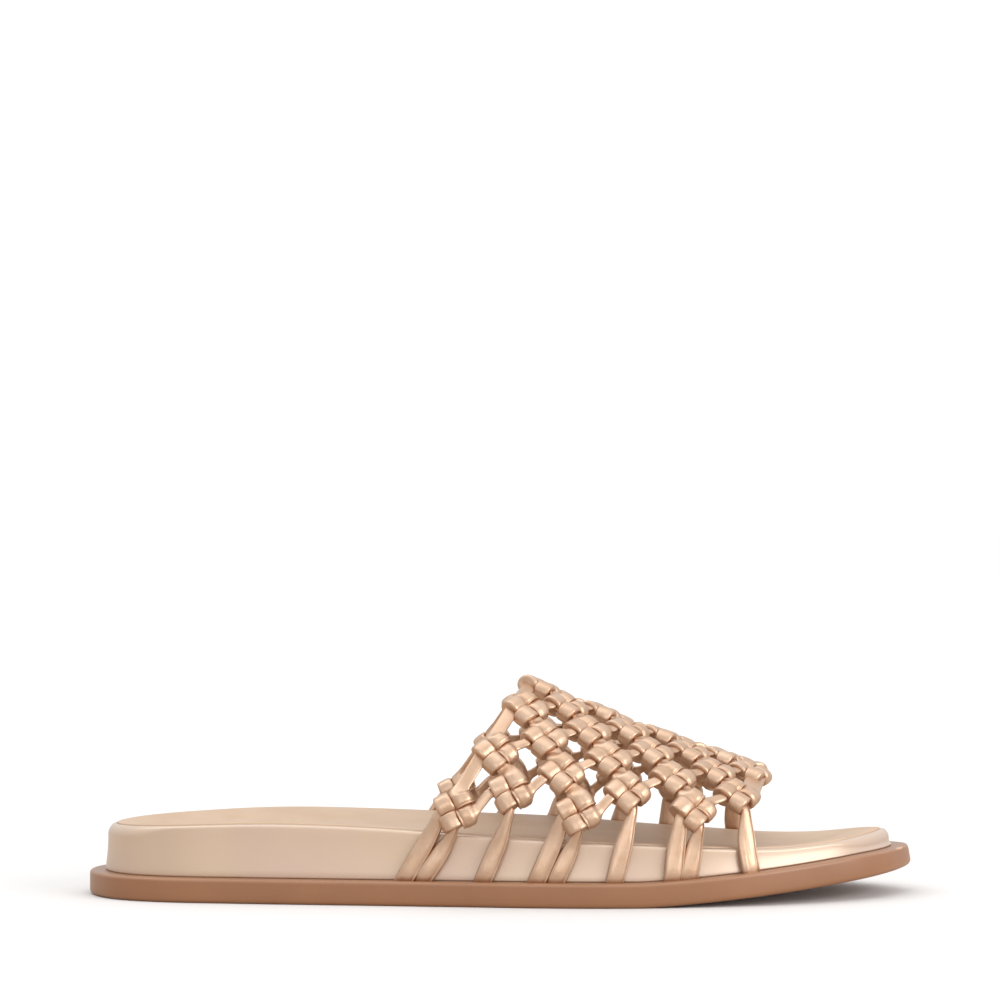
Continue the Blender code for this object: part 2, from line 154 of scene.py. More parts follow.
PORT_PLACE = 0.47
# Row and place of the knot, the side that the strap leaves, and the station of its foot
SIDE_STRAPS = (
    (0, 6, "L", -28.6), (0, 6, "B", -22.9), (1, 5, "B", -4.9), (3, 5, "L", 11.6), (3, 5, "B", 17.5),
    (4, 4, "B", 35.3), (6, 4, "L", 53.2), (6, 4, "B", 58.3), (7, 3, "B", 77.3),
)
STRAP_THICKNESS = 1.9
STRAP_STANDOFF = 0.5
RIM_CLEAR = 1.2
RIM_DROP = 5.5
STRAP_REACH = 0.3
EDGE_BOW = 0.14
DOME_SAMPLES = 90

# ---- Pads and straps of the net ----

# Middle line of a pad's strap, from where it dives under its neighbour, over the face, round its outer
# end and back to the middle behind the knot. Columns: share of the knot's half side, millimetres added
# to it, and height above the dome
PAD_PATH = (
    (0.0, -1.1, -0.4), (0.0, -0.3, -0.05), (0.0, 0.45, 0.75), (0.0, 1.25, 1.5), (0.45, 0.0, 1.95),
    (0.7, 0.0, 1.85), (1.0, -0.75, 1.4), (1.0, -0.05, 0.55), (1.0, 0.1, -0.5), (1.0, -0.35, -1.45),
    (1.0, -1.3, -2.05), (0.55, 0.0, -2.35), (0.2, 0.0, -2.0), (0.0, -0.1, -1.1),
)
# How much of the full width the pad has at each of those points
PAD_WIDTHS = (0.8, 0.86, 0.95, 1.0, 1.03, 1.02, 0.96, 0.9, 0.86, 0.88, 0.94, 0.96, 0.92, 0.85)
PAD_SAMPLES = 28
PAD_OVER = 0.4
PAD_SHORT = 0.15
PAD_ARC = 0.3
# Half side of the knot that the sizes above and below are for
KNOT_UNIT = 5.4
# How unevenly the pads are pulled tight
PAD_UNEVEN = 0.1
PAD_SHIFT = 0.08
PAD_LEAN = 3.0
# Shifts the leather's pattern from strap to strap
PATTERN_SHIFT = 400.0

# Section of a folded strap: across (-1 to 1) and up (in half thicknesses). It has a rolled fold at -1,
# a crown in the middle and a plain round edge at 1
FOLD_SECTION = (
    (-1.0, 0.0), (-0.99, 0.55), (-0.95, 0.95), (-0.88, 1.08), (-0.8, 0.9), (-0.74, 0.58),
    (-0.64, 0.84), (-0.5, 1.02), (-0.2, 1.14), (0.15, 1.18), (0.5, 1.12), (0.8, 0.96), (0.95, 0.6),
    (1.0, 0.0), (0.94, -0.7), (0.5, -1.0), (-0.45, -1.0), (-0.93, -0.7),
)
# A cushion of a knot between its side edges (-1 and 1), and how far its skin stands off its middle
# line, in half thicknesses: flat, with crisp round edges
PAD_EDGES = (
    (-0.97, -0.9), (-0.99, -0.35), (-1.0, 0.1), (-0.98, 0.65), (-0.92, 1.05), (-0.82, 1.27), (-0.6, 1.4),
    (-0.3, 1.47), (0.0, 1.5), (0.3, 1.48), (0.6, 1.42), (0.82, 1.3), (0.92, 1.08), (0.98, 0.65),
    (1.0, 0.1), (0.99, -0.35), (0.97, -0.9),
)
# Rolled edge of a pad that runs on as a strap: place between its edge (-1) and where it leaves (1), and
# how far its skin stands off its middle line, in half thicknesses
FLOW_EDGE = (
    (-0.98, -0.8), (-1.0, 0.0), (-0.985, 0.55), (-0.93, 1.05), (-0.84, 1.28), (-0.72, 1.22), (-0.62, 0.98),
    (-0.54, 1.0), (-0.42, 1.3), (-0.2, 1.44), (0.1, 1.5), (0.55, 1.48), (1.0, 1.42),
)
# A pad that runs on: where its strap starts, how it bends, narrows and tucks in beneath the next pad
FLOW_REACH = 0.3
FLOW_LIFT = 0.35
FLOW_LEAVES = 0.62
EDGE_LEAVES = 0.5
FLOW_SETTLE = 0.85
BORDER_SETTLE = 0.5
SETTLE_LIMIT = 0.8
FLOW_FLARE = 0.35
FLARE_LENGTH = 1.5
FLOW_SAMPLES, EDGE_SAMPLES = 18, 30
SOFT_SECTION = 0.8
TUCK_LEVEL = 0.7
TUCK_DEPTH = 2.4
TUCK_DROP = 0.25
BROAD_STRAP = 1.55
BROAD_LEVEL = 0.45
BROAD_HEIGHT, NARROW_HEIGHT = 1.1, 0.95
EDGE_LEVEL = 0.2
EDGE_TUCK = (0.5, 0.62)
WIDE_STRAP = 1.4
FRONT_STRAP = 2.0
# A side strap: its start behind the knot, its turn over the rim, its width and its tucked foot
SIDE_START = (-0.3, -0.8)
SIDE_INNER = (-0.3, -1.4)
SIDE_SHIFT = 0.2
SIDE_ROLL = 10.0
SIDE_TOP_WIDE = 0.78
SIDE_TOP_NARROW = 0.5
SIDE_HALF_HEIGHT = 0.85
SIDE_STEP = 0.8
SIDE_PASSES = 6
FOOT_HEIGHT = 2.2
# Along the strap beyond that height, and in towards the footbed
SIDE_FOOT = ((1.2, 0.2), (2.4, 0.7), (4.4, 1.5))


def smooth(t):
    return t * t * (3.0 - 2.0 * t)


def fade(x, start, length):
    """Goes softly from 0 at the start to 1 a length further."""
    return smooth(np.clip((x - start) / length, 0.0, 1.0))


def column(table, index):
    return np.array([row[index] for row in table], dtype=float)


def spline(a, b, c, d, t):
    """Between b and c on the uniform Catmull-Rom curve through four points."""
    return 0.5 * (2 * b + (c - a) * t + (2 * a - 5 * b + 4 * c - d) * t ** 2
                  + (3 * b - a - 3 * c + d) * t ** 3)


def catmull_rom(points, steps):
    """Closed uniform Catmull-Rom curve through the points, with steps samples for each span."""
    points = np.asarray(points, dtype=float)
    a, b, c, d = (np.roll(points, 1 - j, axis=0)[:, None] for j in range(4))
    t = (np.arange(steps) / steps)[None, :, None]
    return spline(a, b, c, d, t).reshape(-1, points.shape[1])


def open_curve(points, samples):
    """Catmull-Rom curve from the first point to the last, with even steps of its parameter."""
    points = np.asarray(points, dtype=float)
    padded = np.vstack([2 * points[0] - points[1], points, 2 * points[-1] - points[-2]])
    t = np.linspace(0.0, len(points) - 1, samples)
    span = np.minimum(t.astype(int), len(points) - 2)
    a, b, c, d = (padded[span + j] for j in range(4))
    return spline(a, b, c, d, (t - span)[:, None])


def eased(x, table, index):
    """A column of a table read at x with rounded corners between its rows."""
    stations, values = column(table, 0), column(table, index)
    slopes = np.gradient(values, stations)
    x = np.clip(x, stations[0], stations[-1])
    i = np.clip(np.searchsorted(stations, x, side="right") - 1, 0, len(stations) - 2)
    width = stations[i + 1] - stations[i]
    t = (x - stations[i]) / width
    return ((1 + 2 * t) * (1 - t) ** 2 * values[i] + t * (1 - t) ** 2 * width * slopes[i]
            + t ** 2 * (3 - 2 * t) * values[i + 1] + t ** 2 * (t - 1) * width * slopes[i + 1])


def edge_line():
    """The outsole's edge, anticlockwise from the heel tip: outer side forwards, inner side back."""
    outer = [(x, lateral) for x, lateral, _ in OUTLINE]
    inner = [(x, medial) for x, _, medial in OUTLINE][1:-1]
    return catmull_rom(outer + inner[::-1], OUTLINE_STEPS)


def inward_normals(points):
    along = np.roll(points, -1, axis=0) - np.roll(points, 1, axis=0)
    along /= np.linalg.norm(along, axis=1)[:, None]
    return np.stack([-along[:, 1], along[:, 0]], axis=1)


EDGE_LINE = edge_line()
EDGE_INWARD = inward_normals(EDGE_LINE)
COUNT = len(EDGE_LINE)
MIRROR = (-np.arange(COUNT)) % COUNT
MIDDLE_Y = -1.785


def spine_points():
    """The line that the rings of a sole close on: the middle between each outer and inner point."""
    inset = EDGE_LINE + EDGE_INWARD * SOCK_EDGE
    middle = 0.5 * (inset + inset[MIRROR])
    order = np.argsort(middle[:, 0])
    x = np.clip(middle[:, 0], SPINE_HEEL, SPINE_TOE)
    return np.column_stack([x, np.interp(x, middle[order, 0], middle[order, 1])])


SPINE = spine_points()


def spring(x):
    """Height of the sole's underside: flat from the heel to the ball, then a soft toe spring."""
    return SPRING_RISE * np.clip((x - SPRING_START) / SPRING_LENGTH, 0.0, None) ** SPRING_POWER


def ledge_height(x):
    """Height of the ledge. The outsole thins a little at its toe end."""
    return spring(x) + SOLE_THICKNESS - TOE_THINNING * fade(x, THIN_START, THIN_LENGTH)


def edge_heights(points):
    """Height of the footbed's edge at each point of a ring, by its side of the foot."""
    x = points[:, 0]
    outer = np.arange(COUNT) <= COUNT // 2
    return np.where(outer, eased(x, EDGE, 1), eased(x, EDGE, 2))


def ring(inset, heights, pull=0.0):
    """A ring of 3D points: the outline drawn in by inset, then pulled towards the spine."""
    flat = EDGE_LINE + EDGE_INWARD * np.reshape(inset, (-1, 1))
    if np.min(inset) > TOE_INSET:
        soft = flat
        for _ in range(TOE_PASSES):
            soft = 0.25 * np.roll(soft, 1, axis=0) + 0.5 * soft + 0.25 * np.roll(soft, -1, axis=0)
        near = fade(EDGE_LINE[:, 0], TOE_START, TOE_FADE)[:, None]
        flat = flat * (1.0 - near) + soft * near
    flat = flat * (1.0 - pull) + SPINE * pull
    return np.column_stack([flat, heights(flat)])


def bed_ring(pull, lift):
    """A ring of the footbed's dished top, from its edge (pull 0) to the spine (pull 1)."""
    edge_ring = ring(SOCK_EDGE, edge_heights)
    heights = edge_ring[:, 2]
    middle = 0.5 * (heights + heights[MIRROR])
    depth = eased(SPINE[:, 0], DISH, 1)
    half = COUNT // 2 + 1
    level = np.interp(SPINE[:, 0], edge_ring[:half, 0], middle[:half])
    blend = smooth(pull)
    flat = edge_ring[:, :2] * (1.0 - pull) + SPINE * pull
    return np.column_stack([flat, heights * (1.0 - blend) + (level - depth) * blend + lift])


def quarter_round(start, end, steps, first="rise"):
    """Steps of a quarter ellipse between two (inset, height) pairs, both ends included."""
    turn = np.linspace(0.0, pi / 2, steps)
    fast, slow = np.sin(turn), 1.0 - np.cos(turn)
    a, b = (slow, fast) if first == "rise" else (fast, slow)
    return [(start[0] + (end[0] - start[0]) * i, start[1] + (end[1] - start[1]) * j) for i, j in zip(a, b)]


def close_rings(rings):
    """Points and faces of the closed body between rings whose first and last lie on the spine."""
    points, faces, known = [], [], {}

    def vertex(point):
        key = tuple(round(float(v), 4) for v in point)
        if key not in known:
            known[key] = len(points)
            points.append(point)
        return known[key]

    loops = [[vertex(point) for point in one] for one in rings]
    for lower, upper in zip(loops, loops[1:]):
        for i in range(COUNT):
            j = (i + 1) % COUNT
            corners = []
            for corner in (lower[i], lower[j], upper[j], upper[i]):
                if corner not in corners:
                    corners.append(corner)
            if len(corners) > 2:
                faces.append(tuple(corners))
    return points, faces


def make_piece(name, points, faces, material, node, slot, layout=None):
    """One closed piece from points in millimetres, riding on the part's only body."""
    mesh = bpy.data.meshes.new(name)
    placed = (np.array(points, dtype=float) - (0.0, MIDDLE_Y, 0.0)) * MM
    mesh.from_pydata(placed.tolist(), [], faces)
    if layout is not None:
        layer = mesh.uv_layers.new(name="strap")
        corners = np.empty(len(mesh.loops), dtype=int)
        mesh.loops.foreach_get("vertex_index", corners)
        layer.data.foreach_set("uv", (np.array(layout)[corners] * MM).ravel())
    mesh.shade_smooth()
    mesh.validate()
    item = bpy.data.objects.new(name, mesh)
    bpy.context.scene.collection.objects.link(item)
    mesh.materials.append(material)
    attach(item, "root")
    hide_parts(node)


# ---- The net: dome, knots and ports ----

def side_edge(x, side):
    """Point and inward normal of the outsole's edge at a station, on side -1 (outer) or 1 (inner)."""
    half = slice(0, COUNT // 2 + 1)
    if side < 0:
        line, inward = EDGE_LINE[half], EDGE_INWARD[half]
    else:
        line, inward = EDGE_LINE[MIRROR][half], EDGE_INWARD[MIRROR][half]
    y = np.interp(x, line[:, 0], line[:, 1])
    normal = np.array([np.interp(x, line[:, 0], inward[:, i]) for i in (0, 1)])
    return np.array([x, y]), normal / np.linalg.norm(normal)


def strap_layer(x, side, inset):
    """Point in plan at the middle of the strap layer outside the footbed's wall."""
    edge, inward = side_edge(x, side)
    return edge + inward * (inset - STRAP_STANDOFF - 0.5 * STRAP_THICKNESS), -inward


def station(row, place):
    """How far forward a place of the net lies: a row bows back towards the sides of the foot."""
    return ROW_START + ROW_STEP * row - ROW_BOW * abs(place) ** BOW_POWER * (1.0 - BOW_FADE * row)


def dome_section(row, side):
    """Half a section of the dome at a row: arc lengths, offsets from the ridge line and heights."""
    base_place = 1.0 / (PLACE_SHARE + PLACE_SHARE_GROWTH * row)
    base, _ = strap_layer(station(row, base_place), side, LEDGE + WALL_DRAFT - DOME_STANDOFF)
    ridge_y = RIDGE_SIDE + RIDGE_SIDE_STEP * row
    width = abs(base[1] - ridge_y)
    ridge = RIDGE_HEIGHT - RIDGE_FALL * row + RIDGE_EASE * row ** 2
    shoulder = SHOULDER_HEIGHT - SHOULDER_FALL * row
    power = 2.0 / DOME_POWER
    turn = np.linspace(0.0, pi / 2, DOME_SAMPLES)
    y = width * np.sin(turn) ** power
    z = shoulder + (ridge - shoulder) * np.clip(np.cos(turn), 0.0, None) ** power
    arc = np.concatenate([[0.0], np.cumsum(np.hypot(np.diff(y), np.diff(z)))])
    return arc, y, z, ridge_y


def dome(row, place):
    """Point of the dome under a place of the net; past the shoulder it goes straight down."""
    side = -1.0 if place < 0 else 1.0
    arc, y, z, ridge_y = dome_section(row, side)
    run = abs(place) * (PLACE_SHARE + PLACE_SHARE_GROWTH * row) * arc[-1]
    drop = max(0.0, run - arc[-1])
    return np.array([station(row, place), ridge_y + side * np.interp(run, arc, y),
                     np.interp(run, arc, z) - drop])


def run_along(line):
    """Length along a line at each of its points."""
    return np.cumsum(np.linalg.norm(np.diff(line, axis=0, prepend=line[:1]), axis=1))


def relaxed(points, step):
    """The line through the points in even steps, with its corners eased."""
    along = run_along(points)
    places = np.linspace(0.0, along[-1], int(along[-1] / step) + 1)
    line = np.column_stack([np.interp(places, along, points[:, i]) for i in range(3)])
    for _ in range(SIDE_PASSES):
        line[1:-1] = 0.25 * line[:-2] + 0.5 * line[1:-1] + 0.25 * line[2:]
    return line


def unit(vector):
    return vector / np.linalg.norm(vector)


def unit_rows(vectors):
    return vectors / np.linalg.norm(vectors, axis=1)[:, None]


def has_knot(row, place):
    return 0 <= row < len(NET) and place in NET[row]


def port_towards(place, row_step, place_step):
    """Side of a knot that a strap to the next row and place leaves: R, T, L or B."""
    up = place_step if place <= 0 else -place_step
    return {(1, 1): "R", (-1, 1): "T", (-1, -1): "L", (1, -1): "B"}[(row_step, up)]


class Knot:
    """Place, size and axes of one knot. Its four quarters R, T, L and B are turns of each other."""

    def __init__(self, row, place):
        self.key = (row, place)
        up_step = 1 if place <= 0 else -1
        self.centre = dome(row, place)
        first = unit(dome(row + 1, place + up_step) - dome(row - 1, place - up_step))
        second = unit(dome(row - 1, place + up_step) - dome(row + 1, place - up_step))
        toe, up = unit(first - second), unit(first + second)
        self.hand = up_step
        self.normal = np.cross(toe, up) * up_step
        near = [np.linalg.norm(dome(row + a, place + b) - self.centre)
                for a in (-1, 1) for b in (-1, 1) if has_knot(row + a, place + b)]
        self.half = float(np.clip(KNOT_SHARE * min(near), KNOT_HALF_MIN, KNOT_HALF_MAX))
        self.scale = self.half / KNOT_UNIT
        turn = radians(BORDER_TURN if abs(place) >= BORDER_PLACE else KNOT_TURN)
        self.s_axis = cos(turn) * toe + sin(turn) * up
        self.t_axis = cos(turn) * up - sin(turn) * toe

    def way(self, s, t, z, quarter=0):
        """Direction or offset in the knot's own axes, for arrays or numbers."""
        for _ in range(quarter):
            s, t = -t, s
        return (np.multiply.outer(s, self.s_axis) + np.multiply.outer(t, self.t_axis)
                + np.multiply.outer(z, self.normal))

    def port(self, name):
        """Middle, outward direction and normal of the side that a strap leaves."""
        quarter = "RTLB".index(name)
        middle = self.centre + self.way(PORT_PLACE * self.half, self.half, 0.0, quarter)
        return middle, self.way(0.0, 1.0, 0.0, quarter), self.normal


KNOTS = {(row, place): Knot(row, place) for row, places in enumerate(NET) for place in places}


def partner(row, place, name):
    """The knot that a port's strap leads to, that knot's port, and whether it is an edge strap."""
    up = 1 if place <= 0 else -1
    step = 1 if name in "RB" else -1
    rise = up if name in "RT" else -up
    key = (row + step, place + rise)
    if key in KNOTS:
        return KNOTS[key], port_towards(key[1], -step, -rise), False
    key = (row, place + 2 * rise)
    if key in KNOTS and row in (0, len(NET) - 1):
        return KNOTS[key], port_towards(key[1], step, -rise), True
    return None


def flows(row, place, name):
    """Whether a pad runs on as the strap to the next knot. On the inner side it gives way to another."""
    met = partner(row, place, name)
    return name in "RT" and met is not None and not (met[1] in "RT" and place > 0)


class Straps:
    """Bands swept along paths, gathered for one mesh with strap coordinates in its UV layer."""

    def __init__(self):
        self.points = []
        self.faces = []
        self.layout = []

    def sweep(self, path, across, upward, half_width, half_height, section, run_start=0.0):
        """A closed band: across and upward are unit vectors at each point of the path."""
        shape = np.array(section, dtype=float)
        v, w = shape[:, 0], shape[:, 1]
        count, sides = len(path), len(shape)
        half_width = np.broadcast_to(half_width, (count,))
        half_height = np.broadcast_to(half_height, (count,))
        rows = (path[:, None]
                + across[:, None] * (half_width[:, None] * v[None])[..., None]
                + upward[:, None] * (half_height[:, None] * w[None])[..., None])
        base = len(self.points)
        self.points.extend(rows.reshape(-1, 3))
        run = run_start + run_along(path)
        layout = np.stack([np.repeat(run, sides), np.outer(half_width, v).ravel()], axis=1)
        self.layout.extend(layout)
        turned = np.dot(np.cross(path[1] - path[0], upward[0]), across[0]) < 0
        self.skin(rows, base, turned, (run[0], run[-1]))

    def loft(self, rows, along, across, turned):
        """A closed body through rings of points, with the strap coordinates of each point."""
        base = len(self.points)
        self.points.extend(rows.reshape(-1, 3))
        layout = np.stack(np.broadcast_arrays(along, across), axis=-1)
        self.layout.extend(layout.reshape(-1, 2))
        self.skin(rows, base, turned, (layout[0, 0, 0], layout[-1, 0, 0]))

    def skin(self, rows, base, turned, end_runs):
        """Faces between the rings, and a fan over each end."""
        count, sides = rows.shape[:2]
        order = -1 if turned else 1
        for i in range(count - 1):
            for j in range(sides):
                k = (j + 1) % sides
                a, b = base + i * sides, base + (i + 1) * sides
                self.faces.append((a + j, a + k, b + k, b + j)[::order])
        for i, flip, run in ((0, False, end_runs[0]), (count - 1, True, end_runs[1])):
            loop = [base + i * sides + j for j in range(sides)]
            middle = len(self.points)
            self.points.append(rows[i].mean(axis=0))
            self.layout.append(np.array([run, 0.0]))
            for j in range(sides):
                pair = (loop[j], loop[(j + 1) % sides])
                self.faces.append((*(pair if flip else pair[::-1]), middle)[::order])


def frames_along(path, upward):
    """Unit tangents, across vectors and upward vectors of a path, square to each other."""
    along = unit_rows(np.gradient(path, axis=0))
    across = unit_rows(np.cross(along, upward))
    return along, across, np.cross(across, along)


def pad_outline(knot, rng):
    """Middle line of a pad's strap in the knot's s and z, and its outward normals."""
    table = np.array(PAD_PATH)
    s = table[:, 0] * knot.half + table[:, 1] * knot.scale
    z = table[:, 2] * knot.scale
    z[3:7] += rng.normal(0.0, PAD_UNEVEN)
    s[5:10] += rng.normal(0.0, PAD_UNEVEN)
    line = open_curve(np.stack([s, z], axis=1), PAD_SAMPLES)
    slope = unit_rows(np.gradient(line, axis=0))
    return line, np.stack([-slope[:, 1], slope[:, 0]], axis=1)


def add_pad(straps, knot, quarter, size, rng):
    """A cushion of a knot: a strap over the face, round its outer end and back behind."""
    half = knot.half
    line, normals = pad_outline(knot, rng)
    widths = open_curve(np.array(PAD_WIDTHS)[:, None], PAD_SAMPLES)[:, 0]
    s, z = line[:, 0], line[:, 1]
    low, high = -PAD_OVER * knot.scale, half - PAD_SHORT
    arc = PAD_ARC * np.sin(pi * np.clip(s / half, 0.0, 1.0)) * (z > 0)
    lean = radians(rng.normal(0.0, PAD_LEAN))
    middle = 0.5 * (low + high) + 0.5 * arc + rng.normal(0.0, PAD_SHIFT) + (s - 0.5 * half) * np.tan(lean)
    half_width = 0.5 * (high - low - arc) * widths
    rows, across = [], []
    for place, lift in PAD_EDGES:
        ring_line = line + normals * size * knot.scale * lift
        t = middle + half_width * place
        rows.append(knot.centre + knot.way(ring_line[:, 0], t, ring_line[:, 1], quarter))
        across.append(place * half_width.mean())
    straps.loft(np.array(rows), run_along(line)[None] + rng.uniform(0.0, PATTERN_SHIFT),
                np.array(across)[:, None], knot.hand < 0)


def flow_path(knot, quarter, other, other_name, edge, broad):
    """Where a strap runs from one knot to beneath a pad of the next, and the gap that it spans."""
    tuck, facing, far_normal = other.port(other_name)
    leaving = EDGE_LEAVES if edge else FLOW_LEAVES
    start = knot.centre + knot.way(PORT_PLACE * knot.half, leaving * knot.half,
                                   FLOW_LIFT * knot.scale, quarter)
    leave = knot.way(0.0, 1.0, 0.0, quarter)
    level = EDGE_LEVEL if edge else BROAD_LEVEL if broad else TUCK_LEVEL
    if edge:
        s, t = EDGE_TUCK
        tuck = other.centre + other.way(s * other.half, t * other.half, 0.0, "RTLB".index(other_name))
        facing = unit(start - tuck)
    gap = np.linalg.norm(tuck - start)
    bend = (EDGE_BOW if edge else FLOW_REACH) * gap
    lift = far_normal * level * other.scale
    control = [start, start + leave * bend * (0.5 if edge else 1.0),
               tuck + facing * (bend if edge else 0.5 * bend) + lift, tuck + lift,
               tuck - facing * TUCK_DEPTH * other.scale + far_normal * (level - TUCK_DROP) * other.scale]
    path = open_curve(control, EDGE_SAMPLES if edge else FLOW_SAMPLES)
    turn = np.linspace(0.0, 1.0, len(path))[:, None]
    _, across, upward = frames_along(path, unit_rows((1.0 - turn) * knot.normal + turn * far_normal))
    return path, across * knot.hand, upward, gap


def add_flow(straps, knot, name, other, other_name, size, width, rng, edge=False):
    """A pad whose side runs on as the strap to the next knot, and tucks in beneath that knot's pad."""
    quarter = "RT".index(name)
    broad = name == "T"
    half = knot.half
    line, normals = pad_outline(knot, rng)
    path, across, upward, gap = flow_path(knot, quarter, other, other_name, edge, broad)
    run = run_along(path)
    # The pad's own rows, from its rolled edge to where it starts to leave
    rolled = np.array(FLOW_EDGE)
    low = -PAD_OVER * knot.scale
    pad_t = low + ((EDGE_LEAVES if edge else FLOW_LEAVES) * half - low) * 0.5 * (rolled[:, 0] + 1.0)
    centre = line.mean(axis=0)
    angle = np.arctan2(line[:, 1] - centre[1], line[:, 0] - centre[0])
    flat = np.zeros(len(line))
    rows, along = [], []
    for pad_place, lift in zip(pad_t, rolled[:, 1]):
        ring_line = line + normals * size * knot.scale * lift
        rows.append(knot.centre + knot.way(ring_line[:, 0], flat + pad_place, ring_line[:, 1], quarter))
        along.append(pad_place)
    # The strap's rows, from the pad's shape to a narrow band
    share = FRONT_STRAP if edge and knot.key[0] else WIDE_STRAP if edge else BROAD_STRAP if broad else 1.0
    neck = 0.25 * width * (knot.scale + other.scale) * share
    height = size * (BROAD_HEIGHT if broad and not edge else NARROW_HEIGHT)
    border = name == "R" and abs(knot.key[1]) >= BORDER_PLACE - 1
    settle = min((BORDER_SETTLE if border else FLOW_SETTLE) * half, SETTLE_LIMIT * gap)
    shape_s, shape_z = (np.sign(f(angle)) * np.abs(f(angle)) ** SOFT_SECTION for f in (np.cos, np.sin))
    lifted = line + normals * size * knot.scale * rolled[-1, 1]
    for i in range(1, len(path)):
        blend = fade(run[i], 0.0, settle)
        wide = neck * (1.0 + FLOW_FLARE * (1.0 - fade(run[i], 0.0, FLARE_LENGTH * settle)))
        own = knot.centre + knot.way(lifted[:, 0], flat + pad_t[-1] + run[i], lifted[:, 1], quarter)
        strap = path[i] + np.outer(shape_s * wide, across[i]) + np.outer(shape_z * height, upward[i])
        rows.append(own * (1.0 - blend) + strap * blend)
        along.append(pad_t[-1] + run[i])
    straps.loft(np.array(rows), np.array(along)[:, None] + rng.uniform(0.0, PATTERN_SHIFT),
                run_along(line)[None], knot.hand < 0)


def add_side_strap(straps, row, place, name, foot_x, side, width, rng):
    """A strap from a knot at the net's border down the footbed's wall, tucked in at the ledge."""
    knot = KNOTS[(row, place * side)]
    start, facing, normal = knot.port(name)
    start = start + normal * SIDE_START[0] + facing * SIDE_START[1]
    if name == "L":
        start = start + knot.way(SIDE_SHIFT * knot.half, 0.0, 0.0)
    foot_z = ledge_height(foot_x) + FOOT_HEIGHT
    edge_z = float(eased(np.array([foot_x]), EDGE, 1 if side < 0 else 2)[0])
    rim_z = min(edge_z - RIM_CLEAR, start[2] - RIM_DROP)
    rim_x = start[0] + (foot_x - start[0]) * (start[2] - rim_z) / (start[2] - foot_z)
    rim_flat, _ = strap_layer(rim_x, side, LEDGE + WALL_DRAFT)
    low_flat, low_out = strap_layer(foot_x, side, LEDGE)
    rim = np.array([*rim_flat, rim_z])
    out = np.array([*low_out, 0.0])
    low = np.array([*low_flat, foot_z])
    reach = STRAP_REACH * np.linalg.norm(rim - start)
    down = unit(low - rim)
    c, d = start + unit(rim - start) * reach, rim - down * reach
    t = np.linspace(0.0, 1.0, 12)[:, None]
    bend = (1 - t) ** 3 * start + 3 * (1 - t) ** 2 * t * c + 3 * (1 - t) * t ** 2 * d + t ** 3 * rim
    inner = start + normal * SIDE_INNER[0] + facing * SIDE_INNER[1]
    wall = []
    for part in (0.25, 0.5, 0.75, 1.0):
        flat, _ = strap_layer(rim_x + (foot_x - rim_x) * part, side, LEDGE + (1.0 - part) * WALL_DRAFT)
        wall.append([*flat, rim_z + (foot_z - rim_z) * part])
    foot = [low + down * along - out * inwards for along, inwards in SIDE_FOOT]
    path = relaxed(np.vstack([inner, bend, wall, foot]), SIDE_STEP)
    share = np.linspace(0.0, 1.0, len(path))
    turn = fade(share, 0.0, 0.62)[:, None]
    _, across, upward = frames_along(path, unit_rows((1.0 - turn) * normal + turn * out))
    roll = radians(SIDE_ROLL) * np.sin(pi * np.clip(share / 0.75, 0.0, 1.0)) * rng.uniform(0.6, 1.3) * side
    rolled_across = across * np.cos(roll)[:, None] + upward * np.sin(roll)[:, None]
    rolled_up = upward * np.cos(roll)[:, None] - across * np.sin(roll)[:, None]
    top_width = width * (SIDE_TOP_WIDE if name == "L" else SIDE_TOP_NARROW)
    half_width = 0.5 * (top_width + (width - top_width) * fade(share, 0.05, 0.5))
    straps.sweep(path, rolled_across * -side, rolled_up, half_width, SIDE_HALF_HEIGHT, FOLD_SECTION,
                 rng.uniform(0.0, PATTERN_SHIFT))


# ---- Materials ----

STRAP_LEATHER = "Foiled leather, folded straps"

def colour(code):
    """An sRGB hex colour as linear RGBA."""
    parts = [int(code[i:i + 2], 16) / 255 for i in (0, 2, 4)]
    return (*(c / 12.92 if c <= 0.04045 else ((c + 0.055) / 1.055) ** 2.4 for c in parts), 1.0)


def put(tree, kind, settings=None, links=None):
    """Adds a shader node, sets its properties and sockets, and links (socket: source output)."""
    node = tree.nodes.new("ShaderNode" + kind)
    for name, value in (settings or {}).items():
        if isinstance(name, int) or name in node.inputs:
            node.inputs[name].default_value = value
        else:
            setattr(node, name, value)
    for name, source in (links or {}).items():
        tree.links.new(source, node.inputs[name])
    return node


def start_material(name, settings):
    material = bpy.data.materials.new(name)
    material.use_nodes = True
    tree = material.node_tree
    shader = tree.nodes["Principled BSDF"]
    for socket, value in settings.items():
        shader.inputs[socket].default_value = value
    return material, tree, shader


def mottled(tree, place, noise, span, dark, pale):
    """Cloudy tones between two colours of one hide or one mixing of rubber."""
    tone = put(tree, "TexNoise", noise, {"Vector": place})
    ramp = put(tree, "ValToRGB", links={"Fac": tone.outputs["Fac"]})
    for element, position, shade in zip(ramp.color_ramp.elements, span, (dark, pale)):
        element.position = position
        element.color = shade
    return ramp.outputs["Color"]


